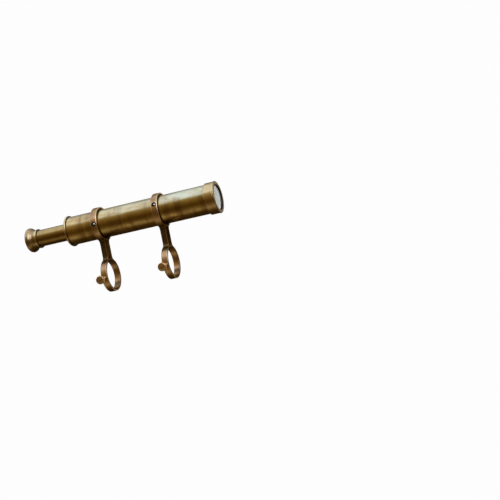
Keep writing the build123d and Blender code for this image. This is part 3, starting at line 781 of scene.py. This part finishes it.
screw_brass = metal(
    "screw_brass", (0.80, 0.52, 0.23), (0.30, 0.16, 0.06), (0.90, 0.68, 0.38), dark_top_shade,
    (0.40, 0.6, 0.1), 0.38, edge_tint=(0.6, 0.5, 0.4),
)
bush_bronze = metal(
    "bush_bronze", (0.46, 0.30, 0.16), (0.2, 0.12, 0.05), (0.6, 0.45, 0.25), dark_top_shade,
    (0.4, 0.3, 0.0), 0.28, marks=None,
)
bright_steel = metal(
    "bright_steel", (0.95, 0.94, 0.92), (0.25, 0.2, 0.15), (0.8, 0.8, 0.78), dark_top_shade,
    (0.15, 0.2, 0.0), 0.10, marks=None,
)
wire_steel = metal(
    "wire_steel", (0.3, 0.3, 0.3), (0.15, 0.12, 0.1), (0.5, 0.5, 0.5), dark_top_shade,
    (0.3, 0.2, 0.0), 0.3, marks=None,
)


def make_blacking():
    """Matt black lacquer over brass: a grainy skin, thin and brown where it is rubbed."""
    material, tree, shader = new_material("black_lacquer")
    place = add(tree, "ShaderNodeTexCoord").outputs["Object"]
    grain = noise(tree, place, 1500.0, 4.0)
    wear_and_painted_shading = noise(tree, place, 90.0, 5.0)
    thin = stretch(tree, wear_and_painted_shading, 0.6, 0.8)
    colour = mix_colour(tree, thin, (0.012, 0.012, 0.013, 1), (0.05, 0.032, 0.018, 1))
    tree.links.new(colour, shader.inputs["Base Color"])
    rough = stretch(tree, wear_and_painted_shading, 0.4, 0.7, 0.72, 0.5)
    tree.links.new(rough, shader.inputs["Roughness"])
    raise_surface(tree, shader, grain, 0.4, 0.008 * mm)
    shader.inputs["Specular IOR Level"].default_value = 0.08
    return material


def make_glass():
    """Old uncoated lens glass: milky, with a little haze and dust in its roughness."""
    material, tree, shader = new_material("lens_glass")
    haze = noise(tree, add(tree, "ShaderNodeTexCoord").outputs["Object"], 70.0, 4.0)
    rough = stretch(tree, haze, 0.4, 0.75, 0.06, 0.10)
    tree.links.new(rough, shader.inputs["Roughness"])
    tint = mix_colour(tree, haze, (0.93, 0.95, 0.93, 1), (0.86, 0.88, 0.84, 1))
    tree.links.new(tint, shader.inputs["Base Color"])
    shader.inputs["Transmission Weight"].default_value = 0.4
    shader.inputs["IOR"].default_value = 1.52
    return material


black_lacquer = make_blacking()
lens_glass = make_glass()


def finish_piece(piece, body, nodes_replaced, material):
    """Gives a piece its material, hangs it on the body it rides on and hides the nodes it replaces.
    """
    piece.data.materials.clear()
    piece.data.materials.append(material)
    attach(piece, body)
    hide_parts(*nodes_replaced)
    return piece


def paint_shade(piece, from_x, to_x, within_r, amount):
    """Painted shade on the points of a turned piece between two places along the tube and inside a
    radius."""
    mesh = piece.data
    place = np.empty(len(mesh.vertices) * 3)
    mesh.vertices.foreach_get("co", place)
    x, y, z = place.reshape(-1, 3).T
    value = np.empty(len(x))
    mesh.attributes["arris"].data.foreach_get("value", value)
    there = (x >= from_x) & (x <= to_x) & (np.hypot(y, z - sight_z) < within_r)
    mesh.attributes["arris"].data.foreach_set("value", np.where(there, -amount, value))


def blacken(piece, from_x, to_x, within_r):
    """Black lacquer on the faces of a turned piece that lie inside a radius, between two places
    along the tube."""
    mesh = piece.data
    mesh.materials.append(black_lacquer)
    centre = np.empty(len(mesh.polygons) * 3)
    mesh.polygons.foreach_get("center", centre)
    x, y, z = centre.reshape(-1, 3).T
    inside = (np.hypot(y, z - sight_z) < within_r) & (x > from_x) & (x < to_x)
    mesh.polygons.foreach_set("material_index", inside.astype(np.int32))


# ---- the pieces ------------------------------------------------------------
def make_main_tube():
    """The drawn brass tube, its ends a little rounded."""
    outline = [
        (tube_x0, tube_bore_r),
        (tube_x1, tube_bore_r),
        (tube_x1, tube_r),
        (tube_x0, tube_r),
    ]
    piece = turned("sight_tube", outline, 0.3 * mm, around=256, longest=3 * mm, sway=0.008 * mm)
    finish_piece(piece, "sight_body", ["main_tube"], tube_brass)
    blacken(piece, tube_x0, tube_x1, tube_bore_r + 0.3 * mm)


def make_cell():
    """The objective cell: a bead at the front edge, a groove behind it, and a bevelled lip in
    front of the glass."""
    lip_x = cell_x1 - 2.1 * mm
    lip_r = 18.4 * mm
    seat_r = 20.45 * mm
    body_r = cell_r - 0.3 * mm
    step_x = tube_x1 + 0.05 * mm
    outline = [
        (cell_x0, tube_r + gap),
        (step_x, tube_r + gap),
        (step_x, seat_r),
        (lip_x, seat_r),
        (lip_x, lip_r),
        (cell_x1 - 0.9 * mm, lip_r),
        (cell_x1, lip_r + 1.3 * mm),
        (cell_x1, cell_r - 0.9 * mm),
        (cell_x1 - 0.6 * mm, cell_r),
        (cell_x1 - 2.5 * mm, cell_r),
        (cell_x1 - 2.7 * mm, body_r - 0.15 * mm),
        (cell_x1 - 3.0 * mm, body_r - 0.15 * mm),
        (cell_x1 - 3.2 * mm, body_r),
        (cell_x0 + 1.0 * mm, body_r),
        (cell_x0, body_r - 1.0 * mm),
    ]
    piece = turned("objective_cell_turned", outline, 0.35 * mm, around=256, longest=2 * mm)
    finish_piece(piece, "sight_body", ["objective_cell"], cell_brass)
    # painted shade on the cell's front face
    paint_shade(piece, cell_x1 - 0.02 * mm, cell_x1 + 0.02 * mm, cell_r - 0.9 * mm, 0.62)
    blacken(piece, cell_x0, cell_x1 - 0.2 * mm, lip_r + 1.2 * mm)


def make_rear_collar():
    """The collar at the tube's rear end: a round bead with a fine groove at its foot, and the
    spigot inside the tube."""
    bore_r = 15.5 * mm
    spigot_r = tube_bore_r - gap
    spigot_in = spigot_r - 2.0 * mm
    bead = 1.75 * mm
    outline = [
        (collar_x0, bore_r),
        (tube_x0, bore_r),
        (tube_x0, spigot_in),
        (collar_x1, spigot_in),
        (collar_x1, spigot_r),
        (tube_x0 - 0.02 * mm, spigot_r),
        (tube_x0 - 0.02 * mm, collar_r),
        (collar_x0, collar_r),
        (collar_x0, 19.6 * mm),
        (collar_x0 + 0.35 * mm, 19.2 * mm),
        (collar_x0 + 0.35 * mm, 18.6 * mm),
        (collar_x0, 18.2 * mm),
    ]
    small = 0.15 * mm
    radii = [0.4 * mm, small, small, small, small, small, bead, bead, small, small, small, small]
    piece = turned("rear_collar_turned", outline, radii, around=224, longest=2 * mm, wear=0.0)
    finish_piece(piece, "sight_body", ["rear_collar"], cell_brass)
    # painted shade on the collar's front face at the tube, and in the fine groove of its rear face
    paint_shade(piece, tube_x0 - 0.7 * mm, tube_x0, collar_r, 0.9)
    paint_shade(piece, collar_x0 + 0.2 * mm, collar_x0 + 0.4 * mm, 19.3 * mm, 0.9)


def make_draw_tube():
    """The sliding tube."""
    outline = [
        (draw_x0, draw_bore_r),
        (draw_x1, draw_bore_r),
        (draw_x1, draw_r),
        (draw_x0, draw_r),
    ]
    piece = turned("draw_tube_turned", outline, 0.2 * mm, longest=3 * mm, sway=0.004 * mm)
    finish_piece(piece, "eyepiece_slide", ["draw_tube"], draw_brass)


def make_eyepiece_ring():
    """The small ring against the eye cup, with a bead and a step."""
    bore_r = draw_r + gap
    mid_x = eye_ring_x0 + 1.6 * mm
    outline = [
        (eye_ring_x0, bore_r),
        (eye_ring_x1, bore_r),
        (eye_ring_x1, eye_ring_r),
        (mid_x, eye_ring_r),
        (mid_x, eye_ring_r - 0.55 * mm),
        (eye_ring_x0, eye_ring_r - 0.55 * mm),
    ]
    piece = turned("eyepiece_ring_turned", outline, 0.55 * mm, around=160, longest=2 * mm, wear=0.0)
    finish_piece(piece, "eyepiece_slide", ["eyepiece_ring"], cell_brass)
    # painted shade on the ring's front face and on its rear face against the eye cup
    paint_shade(piece, eye_ring_x1 - 0.25 * mm, eye_ring_x1, eye_ring_r - 0.1 * mm, 0.8)
    paint_shade(piece, eye_ring_x0, eye_ring_x0 + 0.2 * mm, eye_ring_r, 0.8)


def make_eye_cup():
    """The bell of the eyepiece.  Its outside and its dish are smooth curves through a few
    turned stations, the dish from its hole out to the rim and the bell back along the outside."""
    rim_r, barrel_r, hole_r, bore = 17.4 * mm, 12.02 * mm, 6.5 * mm, draw_r + gap
    seat_x, barrel_x, widest_x = draw_x0 - 0.05 * mm, -168.45 * mm, -173.1 * mm
    hole_x = barrel_x - 1.25 * mm
    inner = np.array(
        [
            (cup_x1, bore), (seat_x, bore), (seat_x, barrel_r),
            (barrel_x, barrel_r), (barrel_x, hole_r), (hole_x, hole_r),
        ]
    )
    dish = smooth_through(
        [
            (hole_x, hole_r), (-170.6 * mm, 7.9 * mm), (-172.0 * mm, 10.6 * mm),
            (-174.6 * mm, 14.6 * mm), (cup_x0 + 0.02 * mm, rim_r),
        ],
        8,
    )
    bell = smooth_through(
        [
            (cup_x0, rim_r + 0.15 * mm), (-175.3 * mm, 18.7 * mm), (widest_x, cup_r),
            (-170.4 * mm, 18.9 * mm), (-168.1 * mm, 17.2 * mm), (-166.3 * mm, 15.4 * mm),
            (-164.4 * mm, 14.6 * mm), (cup_x1, 14.4 * mm),
        ],
        8,
    )
    path = np.concatenate([inner, dish[1:], bell])
    x, r = path.T
    # the rim and the widest part of the bell brighter: edge wear with a painted highlight
    at_rim = np.clip(1 - np.hypot(x - cup_x0, r - rim_r) / (1.6 * mm), 0, 1)
    widest = np.clip(1 - np.abs(x - widest_x) / (2.0 * mm), 0, 1) * (r > 18.6 * mm)
    piece = spun("eye_cup_turned", path, np.maximum(at_rim, 0.7 * widest), 192)
    finish_piece(piece, "eyepiece_slide", ["eye_cup"], cup_brass)


def ball_face(vertex, radius, height):
    """Points of a lens face from its vertex out: x = vertex - R + sqrt(R^2 - h^2)."""
    h = np.linspace(0, height, 14)
    sagged = abs(radius) - np.sqrt(radius**2 - h**2)
    return np.stack([vertex - math.copysign(1, radius) * sagged, h], axis=1)


def make_lens(name, node, front_radius, rear_radius, body):
    """A lens between two spherical faces whose middles are the ends of its node's box.  A
    radius is positive when its face bulges forward."""
    rear_x, front_x, height = ends_and_radius(node)
    front = ball_face(front_x, front_radius, height)
    rear = ball_face(rear_x, rear_radius, height)
    x, r = np.concatenate([rear[1:], front[:0:-1]]).T
    points = round_points(x, r, all_round(160))
    piece = capped_grid(name, points, [rear_x, 0, sight_z], [front_x, 0, sight_z], smooth=30.0)
    finish_piece(piece, body, [node], lens_glass)


def make_brackets():
    """Two brackets, each two bored rings with a sunk screw, the flared post between them and
    the clamp screw of the lower ring."""
    for side, set_angle in (("rear", 0.0), ("front", 18.7)):
        ring, foot, post = f"{side}_tube_ring", f"{side}_clamp_ring", f"{side}_post"
        screw, shank, head = f"{side}_tube_screw", f"{side}_clamp_shank", f"{side}_clamp_head"
        upper = bored_ring(f"{ring}_turned", ring, set_angle, 2.1 * mm, 3.1 * mm, 1.9 * mm)
        finish_piece(upper, "sight_body", [ring], ring_brass)
        lower = bored_ring(f"{foot}_turned", foot, -8.0, 0.63 * PATCH, bore_r=22.23 * mm)
        finish_piece(lower, "sight_body", [foot], ring_brass)
        sunk = domed_screw(f"{screw}_head", ring, set_angle)
        finish_piece(sunk, "sight_body", [screw], bright_steel)
        bar = flared_post(f"{post}_cast", ring, foot, post)
        finish_piece(bar, "sight_body", [post], post_brass)
        thread = clamp_shank(f"{shank}_cut", shank, foot)
        finish_piece(thread, shank, [shank], screw_brass)
        disc = clamp_head(f"{head}_cut", shank, foot, head)
        finish_piece(disc, head, [head], screw_brass)


make_main_tube()
make_cell()
make_rear_collar()
make_draw_tube()
make_eyepiece_ring()
make_eye_cup()
make_brackets()
make_lens("crown_lens_polished", "crown_lens", 150 * mm, -120 * mm, "sight_body")

black_pieces = (
    "lens_retainer",
    "front_glare_stop",
    "rear_glare_stop",
    "eyepiece_barrel",
    "eye_lens_cell",
    "lens_spacer",
    "field_stop",
)
for material, names in (
    (bush_bronze, ("guide_bush", "draw_stop_ring")),
    (lens_glass, ("flint_lens", "eye_lens", "field_lens")),
    (black_lacquer, black_pieces),
    (wire_steel, ("upright_wire", "level_wire")),
):
    for node in names:
        mesh = frame["nodes"][node].data
        mesh.materials.clear()
        mesh.materials.append(material)

# ---- studio ---------------------------------------------------------------
floor_z = -0.30
paper_white = 0.985


def make_floor():
    """A wide pale floor well below the part."""
    half = 8.0
    line = np.linspace(-half, half, 9)
    x, y = np.meshgrid(line, line, indexing="ij")
    points = np.stack([x, y, np.full_like(x, floor_z)], axis=-1).reshape(-1, 3)
    piece = mesh_piece("studio_floor", points, grid_faces(9, 9, False, False))
    material, tree, shader = new_material("studio_paper")
    tree.nodes.remove(shader)
    clear = add(tree, "ShaderNodeBsdfTransparent")
    bright = add(tree, "ShaderNodeEmission")
    bright.inputs["Color"].default_value = (1.0, 1.0, 1.0, 1)
    bright.inputs["Strength"].default_value = paper_white
    path = add(tree, "ShaderNodeLightPath")
    under = add(tree, "ShaderNodeNewGeometry").outputs["Backfacing"]
    above = maths(tree, "SUBTRACT", 1.0, under)
    shown = maths(tree, "MULTIPLY", path.outputs["Is Camera Ray"], above)
    mixed = add(tree, "ShaderNodeMixShader")
    tree.links.new(shown, mixed.inputs[0])
    tree.links.new(clear.outputs[0], mixed.inputs[1])
    tree.links.new(bright.outputs[0], mixed.inputs[2])
    tree.links.new(mixed.outputs[0], tree.nodes["Material Output"].inputs["Surface"])
    piece.data.materials.append(material)


def make_light():
    """A soft studio sky, bright and cool overhead and darker and warmer at the sides and
    below, with a white card in front and a lamp."""
    world = bpy.data.worlds.new("studio")
    bpy.context.scene.world = world
    world.use_nodes = True
    tree = world.node_tree
    way = add(tree, "ShaderNodeTexCoord").outputs["Generated"]
    part = apart(tree, way)
    toward = maths(tree, "MULTIPLY", part["Y"], -1.0)
    climb = maths(tree, "ARCTAN2", part["Z"], toward)
    share = maths(tree, "MULTIPLY", climb, 1 / TURN)
    share = maths(tree, "ADD", share, 0.5)
    ramp = add(tree, "ShaderNodeValToRGB")
    tree.links.new(share, ramp.inputs[0])
    # degrees round the sight axis: 0 the near horizon, 90 overhead, 180 the far horizon
    stops = (
        (-180, (0.04, 0.026, 0.010)),
        (-112, (0.05, 0.03, 0.008)),
        (-88, (0.11, 0.07, 0.02)),
        (-66, (0.34, 0.27, 0.15)),
        (-48, (0.20, 0.14, 0.06)),
        (-30, (0.09, 0.052, 0.012)),
        (0, (0.13, 0.076, 0.018)),
        (28, (0.30, 0.22, 0.10)),
        (42, (0.50, 0.44, 0.31)),
        (52, (1.10, 1.26, 1.46)),
        (88, (1.05, 1.26, 1.52)),
        (108, (0.88, 0.98, 1.05)),
        (128, (0.52, 0.53, 0.48)),
        (165, (0.06, 0.04, 0.02)),
    )
    ramp.color_ramp.interpolation = "CARDINAL"
    elements = ramp.color_ramp.elements
    for index, (degrees, colour) in enumerate(stops):
        place = degrees / 360 + 0.5
        element = elements[index] if index < 2 else elements.new(place)
        element.position = place
        element.color = (*colour, 1)
    colour = ramp.outputs[0]
    # a white card beyond the front end, met only by what faces forward
    forward = stretch(tree, part["X"], -0.02, 0.10)
    far = stretch(tree, part["Y"], 0.78, 0.90)
    card = maths(tree, "MULTIPLY", forward, far)
    level = maths(tree, "SUBTRACT", part["Z"], 0.06)
    level = maths(tree, "ABSOLUTE", level)
    card = maths(tree, "MULTIPLY", card, stretch(tree, level, 0.15, 0.20, 1.0, 0.0))
    pale = mix_colour(
        tree,
        stretch(tree, part["Z"], -0.06, 0.12),
        (1.80, 1.77, 1.70, 1),
        (1.10, 1.10, 1.08, 1),
    )
    colour = mix_colour(tree, card, colour, pale)
    # a lamp high on the front right, which picks out bevels and the bell of the eye cup
    lamp_way = Vector((0.62, -0.52, 0.58)).normalized()
    aim = add(tree, "ShaderNodeVectorMath", operation="DOT_PRODUCT")
    tree.links.new(way, aim.inputs[0])
    aim.inputs[1].default_value = lamp_way
    lamp = stretch(tree, aim.outputs["Value"], 0.88, 0.97)
    colour = mix_colour(tree, lamp, colour, (2.2, 2.3, 2.6, 1))
    lit = tree.nodes["Background"]
    tree.links.new(colour, lit.inputs["Color"])
    lit.inputs["Strength"].default_value = 1.0
    seen = add(tree, "ShaderNodeBackground")
    seen.inputs["Color"].default_value = (1.0, 1.0, 1.0, 1)
    seen.inputs["Strength"].default_value = paper_white
    path = add(tree, "ShaderNodeLightPath")
    mixed = add(tree, "ShaderNodeMixShader")
    tree.links.new(path.outputs["Is Camera Ray"], mixed.inputs[0])
    tree.links.new(lit.outputs[0], mixed.inputs[1])
    tree.links.new(seen.outputs[0], mixed.inputs[2])
    tree.links.new(mixed.outputs[0], tree.nodes["World Output"].inputs["Surface"])


def make_camera():
    """A long lens from the front right, level with the part, rolled so that the level tube
    climbs to the right."""
    azimuth, elevation, roll = (math.radians(v) for v in (15.12, -1.75, 11.60))
    distance = 1.2463
    target = Vector((0.17656, 0.0, -0.00731))
    back = Vector(
        (
            math.sin(azimuth) * math.cos(elevation),
            -math.cos(azimuth) * math.cos(elevation),
            math.sin(elevation),
        )
    )
    right = (-back).cross(Vector((0, 0, 1))).normalized()
    up = right.cross(-back)
    across = right * math.cos(roll) - up * math.sin(roll)
    over = right * math.sin(roll) + up * math.cos(roll)
    lens = bpy.data.cameras.new("camera")
    lens.sensor_width = 36.0
    lens.lens = 60.44
    lens.clip_start, lens.clip_end = 0.05, 60.0
    camera = bpy.data.objects.new("camera", lens)
    bpy.context.collection.objects.link(camera)
    turned_to = Matrix((across, over, back)).transposed()
    camera.matrix_world = Matrix.Translation(target + back * distance) @ turned_to.to_4x4()
    bpy.context.scene.camera = camera


make_floor()
make_light()
make_camera()
bpy.context.scene.view_settings.view_transform = "Standard"
